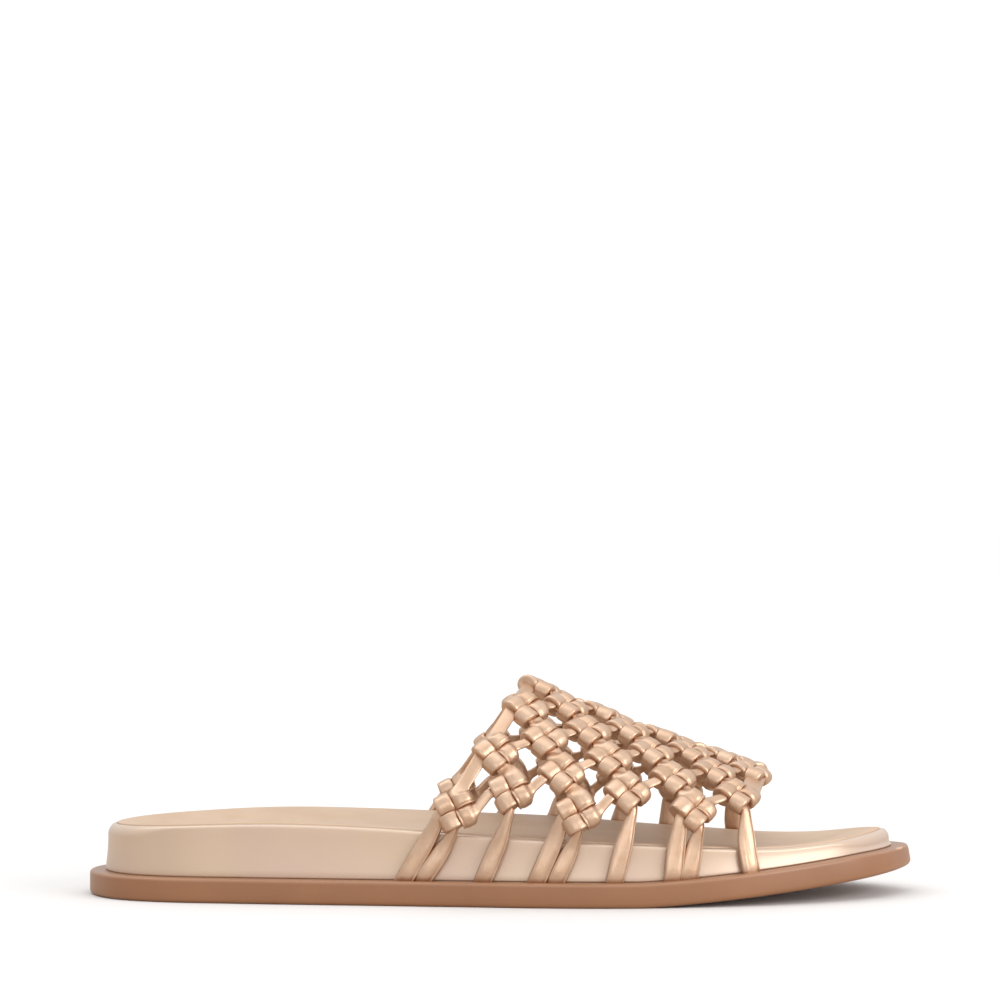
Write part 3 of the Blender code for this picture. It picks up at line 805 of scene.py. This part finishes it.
def strap_leather(tones):
    """Foiled leather, folded into straps.

    A thin metallic foil pressed on goatskin: satin, gold, with a fine grain and faint folds along the
    strap. Where the foil is creased and hollow, a warmer, darker tone is painted in as shade.
    """
    settings = {"Metallic": 0.8, "Roughness": 0.36, "IOR": 1.5}
    material, tree, shader = start_material(STRAP_LEATHER, settings)
    place = put(tree, "TexCoord").outputs["Object"]
    cloudy = mottled(tree, place, {"Scale": 160.0, "Detail": 3.0, "Roughness": 0.6}, (0.3, 0.7),
                     tones.strap_dark, tones.strap_pale)
    # Painted shade: ambient occlusion mixes a warmer, darker tone into the foil's colour in creases and
    # hollows
    nook = put(tree, "AmbientOcclusion", {"Distance": 0.0022, "samples": 8})
    open_air = put(tree, "MapRange", {"From Min": 0.25, "From Max": 0.8},
                   {"Value": nook.outputs["AO"]})
    crease_shade = put(tree, "Mix", {"data_type": "RGBA", 6: tones.strap_crease_shade},
               {0: open_air.outputs["Result"], 7: cloudy})
    tree.links.new(crease_shade.outputs[2], shader.inputs["Base Color"])
    strap = put(tree, "UVMap", {"uv_map": "strap"}).outputs["UV"]
    folds_map = put(tree, "Mapping", {"Scale": (120.0, 900.0, 1.0)},
                    {"Vector": strap})
    folds = put(tree, "TexNoise", {"Scale": 1.0, "Detail": 2.0, "Roughness": 0.5},
                {"Vector": folds_map.outputs["Vector"]})
    grain = put(tree, "TexNoise", {"Scale": 1800.0, "Detail": 2.0, "Roughness": 0.5},
                {"Vector": place})
    streak_map = put(tree, "Mapping", {"Scale": (110.0, 430.0, 1.0)},
                     {"Vector": strap})
    dimples = put(tree, "TexNoise", {"Scale": 1.0, "Detail": 1.0, "Roughness": 0.4},
                  {"Vector": streak_map.outputs["Vector"]})
    pressed = put(tree, "Bump", {"Strength": 0.4, "Distance": 0.0006},
                  {"Height": dimples.outputs["Fac"]})
    soft = put(tree, "Bump", {"Strength": 0.25, "Distance": 0.0004},
               {"Height": folds.outputs["Fac"], "Normal": pressed.outputs["Normal"]})
    fine = put(tree, "Bump", {"Strength": 0.45, "Distance": 0.0001},
               {"Height": grain.outputs["Fac"], "Normal": soft.outputs["Normal"]})
    tree.links.new(fine.outputs["Normal"], shader.inputs["Normal"])
    return material


def wrap_leather(tones):
    """Pearl-foiled leather, lasted round the footbed.

    Stretched smooth over foam: a soft pearl sheen, pinker and paler than the straps.
    """
    settings = {"Metallic": 0.4, "Roughness": 0.38, "IOR": 1.5, "Coat Weight": 0.7, "Coat Roughness": 0.26}
    material, tree, shader = start_material("Pearl foiled leather, lasted", settings)
    place = put(tree, "TexCoord").outputs["Object"]
    cloudy = mottled(tree, place, {"Scale": 45.0, "Detail": 3.0, "Roughness": 0.55}, (0.35, 0.65),
                     tones.wrap_dark, tones.wrap_pale)
    tree.links.new(cloudy, shader.inputs["Base Color"])
    grain = put(tree, "TexNoise", {"Scale": 1500.0, "Detail": 2.0, "Roughness": 0.5},
                {"Vector": place})
    fine = put(tree, "Bump", {"Strength": 0.15, "Distance": 0.0001},
               {"Height": grain.outputs["Fac"]})
    tree.links.new(fine.outputs["Normal"], shader.inputs["Normal"])
    return material


def sock_leather(tones):
    """Glove leather, lightly foiled and glued down flat.

    Nearly matte beige gold with a fine even grain.
    """
    settings = {"Metallic": 0.2, "Roughness": 0.55, "IOR": 1.5}
    material, tree, shader = start_material("Glove leather, matte sock", settings)
    place = put(tree, "TexCoord").outputs["Object"]
    cloudy = mottled(tree, place, {"Scale": 60.0, "Detail": 4.0, "Roughness": 0.55}, (0.3, 0.7),
                     tones.sock_dark, tones.sock_pale)
    tree.links.new(cloudy, shader.inputs["Base Color"])
    grain = put(tree, "TexVoronoi", {"Scale": 900.0, "feature": "DISTANCE_TO_EDGE"},
                {"Vector": place})
    fine = put(tree, "Bump", {"Strength": 0.12, "Distance": 0.0001},
               {"Height": grain.outputs["Distance"]})
    tree.links.new(fine.outputs["Normal"], shader.inputs["Normal"])
    return material


def gum_rubber(tones):
    """Gum rubber, moulded.

    Tan and slightly translucent to the eye, satin from the mould, with a painted highlight: a paler tone
    along its arrises.
    """
    settings = {"Roughness": 0.42, "IOR": 1.52, "Coat Weight": 0.5, "Coat Roughness": 0.36}
    material, tree, shader = start_material("Gum rubber, moulded", settings)
    place = put(tree, "TexCoord").outputs["Object"]
    cloudy = mottled(tree, place, {"Scale": 35.0, "Detail": 5.0, "Roughness": 0.6}, (0.3, 0.7),
                     tones.rubber_dark, tones.rubber_pale)
    shape = put(tree, "NewGeometry")
    # Painted highlight: a paler tone along the sharp arrises, found by the mesh's pointiness
    arris = put(tree, "MapRange", {"From Min": 0.515, "From Max": 0.61},
                {"Value": shape.outputs["Pointiness"]})
    painted_highlight = put(tree, "Mix", {"data_type": "RGBA", 7: tones.rubber_painted_highlight},
                {0: arris.outputs["Result"], 6: cloudy})
    tree.links.new(painted_highlight.outputs[2], shader.inputs["Base Color"])
    grain = put(tree, "TexNoise", {"Scale": 2200.0, "Detail": 2.0, "Roughness": 0.5},
                {"Vector": place})
    fine = put(tree, "Bump", {"Strength": 0.12, "Distance": 0.0001},
               {"Height": grain.outputs["Fac"]})
    tree.links.new(fine.outputs["Normal"], shader.inputs["Normal"])
    return material


# ---- Settings, operators and panel ----

def tint(name, description, code):
    return FloatVectorProperty(name=name, description=description, default=colour(code),
                               subtype="COLOR", size=4, min=0.0, max=1.0)


class SandalSettings(PropertyGroup):
    """Sizes and colours that a maker may want to change"""
    strap_width: FloatProperty(
        name="Strap width", description="Width of a side strap at its foot",
        default=0.0057, min=0.003, max=0.008, unit="LENGTH")
    link_width: FloatProperty(
        name="Link width", description="Width of the strap between two knots, where it is narrowest",
        default=0.0031, min=0.002, max=0.005, unit="LENGTH")
    pad_half: FloatProperty(
        name="Pad half thickness", description="Half the thickness of a knot's folded strap",
        default=0.00072, min=0.0004, max=0.0012, unit="LENGTH")
    strap_dark: tint("Straps, darker", "Darker clouds in the straps' foil", "C5A388")
    strap_pale: tint("Straps, paler", "Paler clouds in the straps' foil", "D1B49C")
    # Painted shade: the warmer, darker tone mixed into the straps deep in their folds and hollows
    strap_crease_shade: tint("Straps, creases", "Leather under the foil, deep in the folds", "A87550")
    wrap_dark: tint("Wrap, darker", "Darker clouds in the wrap's pearl foil", "CAB19F")
    wrap_pale: tint("Wrap, paler", "Paler clouds in the wrap's pearl foil", "CDB59D")
    sock_dark: tint("Sock, darker", "Darker clouds in the sock", "C1A58A")
    sock_pale: tint("Sock, paler", "Paler clouds in the sock", "CBB097")
    rubber_dark: tint("Rubber, darker", "Darker clouds in the outsole", "8B5D3B")
    rubber_pale: tint("Rubber, paler", "Paler clouds in the outsole", "956542")
    # Painted highlight: the paler tone on the outsole's arrises
    rubber_painted_highlight: tint("Rubber, bloom", "Powdery bloom on the outsole's arrises", "C49A75")
    # Painted shade: the floor throws back this darker, warmer tone on the sandal, which shades its lower
    # sides, while the camera sees the paler tones below
    floor_warm: tint("Floor, lit side", "What the floor throws back on the sandal", "C6BAB0")
    # Painted to even out the light on the floor: darker near the sandal, where the softboxes light it most,
    # and white further off
    floor_near: tint("Floor, near", "Floor round the sandal as it is seen", "E2E0DF")
    floor_far: tint("Floor, far", "Floor further off as it is seen", "FDFDFD")


class SANDAL_OT_outsole(Operator):
    """Builds the rubber outsole with its rounded edges"""
    bl_idname = "sandal.outsole"
    bl_label = "Outsole"

    def execute(self, context):
        def under(lift):
            return lambda flat: spring(flat[:, 0]) + lift

        def ledge(drop):
            return lambda flat: ledge_height(flat[:, 0]) - drop

        lean = TOE_LEAN * fade(EDGE_LINE[:, 0], LEAN_START, LEAN_LENGTH)
        rings = [ring(LOWER_ROUND, under(0.0), pull) for pull in (1.0, 0.66, 0.33)]
        rings += [ring(inset - lean, under(lift))
                  for inset, lift in quarter_round((LOWER_ROUND, 0.0), (0.0, LOWER_RISE), 7, "run")]
        rings += [ring(-lean * share, ledge(drop)) for share, drop in ((0.6, 3.2), (0.2, 1.4))]
        rings += [ring(inset, ledge(drop))
                  for inset, drop in quarter_round((0.0, LEDGE_ROUND), (LEDGE_ROUND, 0.0), 6)]
        rings += [ring(inset, ledge(0.0)) for inset in (1.9, 3.4, LEDGE + LEDGE_COVER)]
        rings += [ring(LEDGE + LEDGE_COVER, ledge(0.0), pull) for pull in (0.5, 1.0)]
        rubber = gum_rubber(context.scene.sandal)
        make_piece("sole_rubber", *close_rings(rings), rubber, "outsole", "outsole")
        return {"FINISHED"}


class SANDAL_OT_footbed(Operator):
    """Builds the footbed with its leather wrap round the side and over the rim"""
    bl_idname = "sandal.footbed"
    bl_label = "Footbed wrap"

    def execute(self, context):
        def base(lift):
            return lambda flat: ledge_height(flat[:, 0]) + lift

        def rim(drop):
            return lambda flat: edge_heights(flat) - drop

        wall = LEDGE + WALL_DRAFT
        rings = [ring(LEDGE + LEDGE_COVER, base(WRAP_LIFT), 1.0)]
        foot = quarter_round((LEDGE + WRAP_FOOT_REACH, WRAP_LIFT), (LEDGE, WRAP_FOOT_RISE), 5, "run")
        rings += [ring(inset, base(lift)) for inset, lift in foot]
        x = EDGE_LINE[:, 0]
        ends = np.maximum(fade(-x, -HEEL_END, HEEL_FADE), fade(x, TOE_END, TOE_END_FADE))
        reach = RIM_ROUND + (SOCK_EDGE - wall - RIM_ROUND) * ends
        tall = RIM_ROUND + RIM_ROUND_ENDS * ends
        rim_round = [(wall + reach * run, tall * drop)
                     for run, drop in quarter_round((0.0, 1.0), (1.0, 0.0), 12)]
        rim_round.append((SOCK_EDGE, 0.0))
        low = ring(foot[-1][0], base(foot[-1][1]))
        high = ring(rim_round[0][0], rim(rim_round[0][1]))
        for share in (0.12, 0.25, 0.4, 0.55, 0.7, 0.85):
            row = low * (1.0 - share) + high * share
            lean = 1.0 - (1.0 - share) ** 2
            row[:, :2] = low[:, :2] * (1.0 - lean) + high[:, :2] * lean
            rings.append(row)
        rings += [ring(inset, rim(drop)) for inset, drop in rim_round]
        rings += [bed_ring(pull, lift) for pull, lift in WRAP_EDGE]
        rings += [bed_ring(pull, WRAP_EDGE[-1][1]) for pull in (0.3, 0.6, 1.0)]
        leather = wrap_leather(context.scene.sandal)
        make_piece("footbed_wrap", *close_rings(rings), leather, "midsole", "midsole")
        return {"FINISHED"}


class SANDAL_OT_sock(Operator):
    """Builds the sock, a thin sheet with a rounded edge that stands a little proud of its rebate"""
    bl_idname = "sandal.sock"
    bl_label = "Sock"

    def execute(self, context):
        inner = (0.12, 0.24, 0.36, 0.5, 0.65, 0.8, 1.0)
        rings = [bed_ring(pull, SOCK_EDGES[0][1]) for pull in inner[::-1]]
        rings += [bed_ring(pull, lift) for pull, lift in SOCK_EDGES]
        rings += [bed_ring(pull, SOCK_EDGES[-1][1]) for pull in inner]
        make_piece("sock_sheet", *close_rings(rings), sock_leather(context.scene.sandal), "insole", "insole")
        return {"FINISHED"}


def make_straps(name, straps, tones):
    """One piece of the net. All of its pieces share one leather."""
    leather = bpy.data.materials.get(STRAP_LEATHER) or strap_leather(tones)
    make_piece(name, straps.points, straps.faces, leather, "upper", "upper", straps.layout)


class SANDAL_OT_knots(Operator):
    """Builds the cushions of the knots, which are folded over at their outer ends"""
    bl_idname = "sandal.knots"
    bl_label = "Knots"

    def execute(self, context):
        straps = Straps()
        rng = np.random.default_rng(SEED)
        size = context.scene.sandal.pad_half / MM
        for (row, place), knot in KNOTS.items():
            for quarter, name in enumerate("RTLB"):
                if not flows(row, place, name):
                    add_pad(straps, knot, quarter, size, rng)
        make_straps("net_knots", straps, context.scene.sandal)
        return {"FINISHED"}


class SANDAL_OT_links(Operator):
    """Builds the pads that run on as straps to the next knot, and the net's back and front edges"""
    bl_idname = "sandal.links"
    bl_label = "Links"

    def execute(self, context):
        straps = Straps()
        rng = np.random.default_rng(SEED + 1)
        size = context.scene.sandal.pad_half / MM
        width = context.scene.sandal.link_width / MM
        for (row, place), knot in KNOTS.items():
            for name in "RT":
                if flows(row, place, name):
                    other, other_name, edge = partner(row, place, name)
                    add_flow(straps, knot, name, other, other_name, size, width, rng, edge)
        make_straps("net_links", straps, context.scene.sandal)
        return {"FINISHED"}


class SANDAL_OT_side_straps(Operator):
    """Builds the straps from the net's border down to the ledge, on both sides"""
    bl_idname = "sandal.side_straps"
    bl_label = "Side straps"

    def execute(self, context):
        straps = Straps()
        rng = np.random.default_rng(SEED + 2)
        width = context.scene.sandal.strap_width / MM
        for row, place, name, foot_x in SIDE_STRAPS:
            for side in (-1, 1):
                add_side_strap(straps, row, place, name, foot_x, side, width, rng)
        make_straps("side_straps", straps, context.scene.sandal)
        return {"FINISHED"}


# Half side of the floor, and where its tone goes from near to far, in metres
FLOOR_HALF = 12.0
FLOOR_NEAR, FLOOR_FAR = 0.15, 0.6
WHITE = (1.0, 1.0, 1.0, 1.0)
# Strength of the studio's walls below and above, and of the backdrop
WALL_LOW, WALL_HIGH = 0.7, 1.22
BACKDROP = 1.05
# Name, place, aim, width and height, power
SOFTBOXES = (
    ("softbox_top", (-0.1, -0.1, 1.1), (0.0, 0.0, 0.0), (1.2, 0.9), 2.3),
    ("softbox_front", (-0.1, -1.5, 0.4), (0.0, 0.0, 0.02), (0.9, 0.6), 2.5),
    ("softbox_toe", (1.13, -0.8, 0.48), (0.1, 0.0, 0.02), (1.1, 0.85), 10.5),
    ("softbox_heel", (-0.65, 0.1, 1.0), (-0.11, 0.0, 0.02), (0.35, 0.35), 0.8),
)
CAMERA_PLACE = (0.0, -1.1482, 0.1235)
SENSOR, LENS = 36.0, 131.4


def hang_softbox(scene, name, place, aim, size, power):
    light = bpy.data.lights.new(name, "AREA")
    light.shape = "RECTANGLE"
    light.size, light.size_y = size
    light.energy = power
    item = bpy.data.objects.new(name, light)
    scene.collection.objects.link(item)
    item.location = place
    item.rotation_euler = (Vector(aim) - Vector(place)).to_track_quat("-Z", "Y").to_euler()


class SANDAL_OT_stage(Operator):
    """Sets the floor, the studio light and the camera"""
    bl_idname = "sandal.stage"
    bl_label = "Stage"

    def execute(self, context):
        tones = context.scene.sandal
        mesh = bpy.data.meshes.new("studio_floor")
        corners = [(x * FLOOR_HALF, y * FLOOR_HALF, 0) for x, y in ((-1, -1), (1, -1), (1, 1), (-1, 1))]
        mesh.from_pydata(corners, [], [(0, 1, 2, 3)])
        floor = bpy.data.objects.new("studio_floor", mesh)
        context.scene.collection.objects.link(floor)
        material, paper, shader = start_material("Paper, matte white", {"Roughness": 0.9})
        facing = put(paper, "LightPath")
        spot = put(paper, "NewGeometry")
        away = put(paper, "VectorMath", {"operation": "LENGTH"}, {0: spot.outputs["Position"]})
        far = put(paper, "MapRange", {"From Min": FLOOR_NEAR, "From Max": FLOOR_FAR},
                  {"Value": away.outputs["Value"]})
        # Painted to even out the light: the floor as seen is darker round the sandal, where the softboxes
        # light it most, and white further off, where their light falls away
        pale = put(paper, "Mix", {"data_type": "RGBA", 6: tones.floor_near, 7: tones.floor_far},
                   {0: far.outputs["Result"]})
        # Painted shade: light rays see the floor in a darker, warmer tone than the camera does, which
        # darkens the sandal's lower sides
        shade = put(paper, "Mix", {"data_type": "RGBA", 6: tones.floor_warm},
                    {0: facing.outputs["Is Camera Ray"], 7: pale.outputs[2]})
        paper.links.new(shade.outputs[2], shader.inputs["Base Color"])
        mesh.materials.append(material)

        world = bpy.data.worlds.new("studio")
        world.use_nodes = True
        tree = world.node_tree
        sky = tree.nodes["Background"]
        way = put(tree, "TexCoord")
        height = put(tree, "SeparateXYZ", links={"Vector": way.outputs["Generated"]})
        glow = put(tree, "MapRange", {"To Min": WALL_LOW, "To Max": WALL_HIGH},
                   {"Value": height.outputs["Z"]})
        tree.links.new(glow.outputs["Result"], sky.inputs["Strength"])
        backdrop = put(tree, "Background", {"Color": WHITE, "Strength": BACKDROP})
        sky.inputs["Color"].default_value = WHITE
        ray = put(tree, "LightPath")
        seen = put(tree, "MixShader", links={0: ray.outputs["Is Camera Ray"],
                                                       1: sky.outputs["Background"],
                                                       2: backdrop.outputs["Background"]})
        tree.links.new(seen.outputs["Shader"], tree.nodes["World Output"].inputs["Surface"])
        context.scene.world = world
        context.scene.view_settings.view_transform = "Standard"

        for softbox in SOFTBOXES:
            hang_softbox(context.scene, *softbox)

        camera = bpy.data.cameras.new("camera")
        camera.sensor_width = SENSOR
        camera.lens = LENS
        camera.clip_end = 50.0
        item = bpy.data.objects.new("camera", camera)
        context.scene.collection.objects.link(item)
        item.location = CAMERA_PLACE
        item.rotation_euler = (radians(90.0), 0.0, 0.0)
        context.scene.camera = item
        return {"FINISHED"}


OPERATORS = (
    SANDAL_OT_outsole,
    SANDAL_OT_footbed,
    SANDAL_OT_sock,
    SANDAL_OT_knots,
    SANDAL_OT_links,
    SANDAL_OT_side_straps,
    SANDAL_OT_stage,
)


class SANDAL_PT_panel(Panel):
    bl_label = "Slide sandal"
    bl_idname = "SANDAL_PT_panel"
    bl_space_type = "VIEW_3D"
    bl_region_type = "UI"
    bl_category = "Sandal"

    def draw(self, context):
        settings = context.scene.sandal
        for name in SandalSettings.__annotations__:
            self.layout.prop(settings, name)
        for operator in OPERATORS:
            self.layout.operator(operator.bl_idname)


def register():
    for one in (SandalSettings, *OPERATORS, SANDAL_PT_panel):
        bpy.utils.register_class(one)
    bpy.types.Scene.sandal = PointerProperty(type=SandalSettings)


def unregister():
    del bpy.types.Scene.sandal
    for one in (SANDAL_PT_panel, *OPERATORS[::-1], SandalSettings):
        bpy.utils.unregister_class(one)


def main():
    register()
    bpy.ops.sandal.outsole()
    bpy.ops.sandal.footbed()
    bpy.ops.sandal.sock()
    bpy.ops.sandal.knots()
    bpy.ops.sandal.links()
    bpy.ops.sandal.side_straps()
    bpy.ops.sandal.stage()


if __name__ == "__main__":
    main()
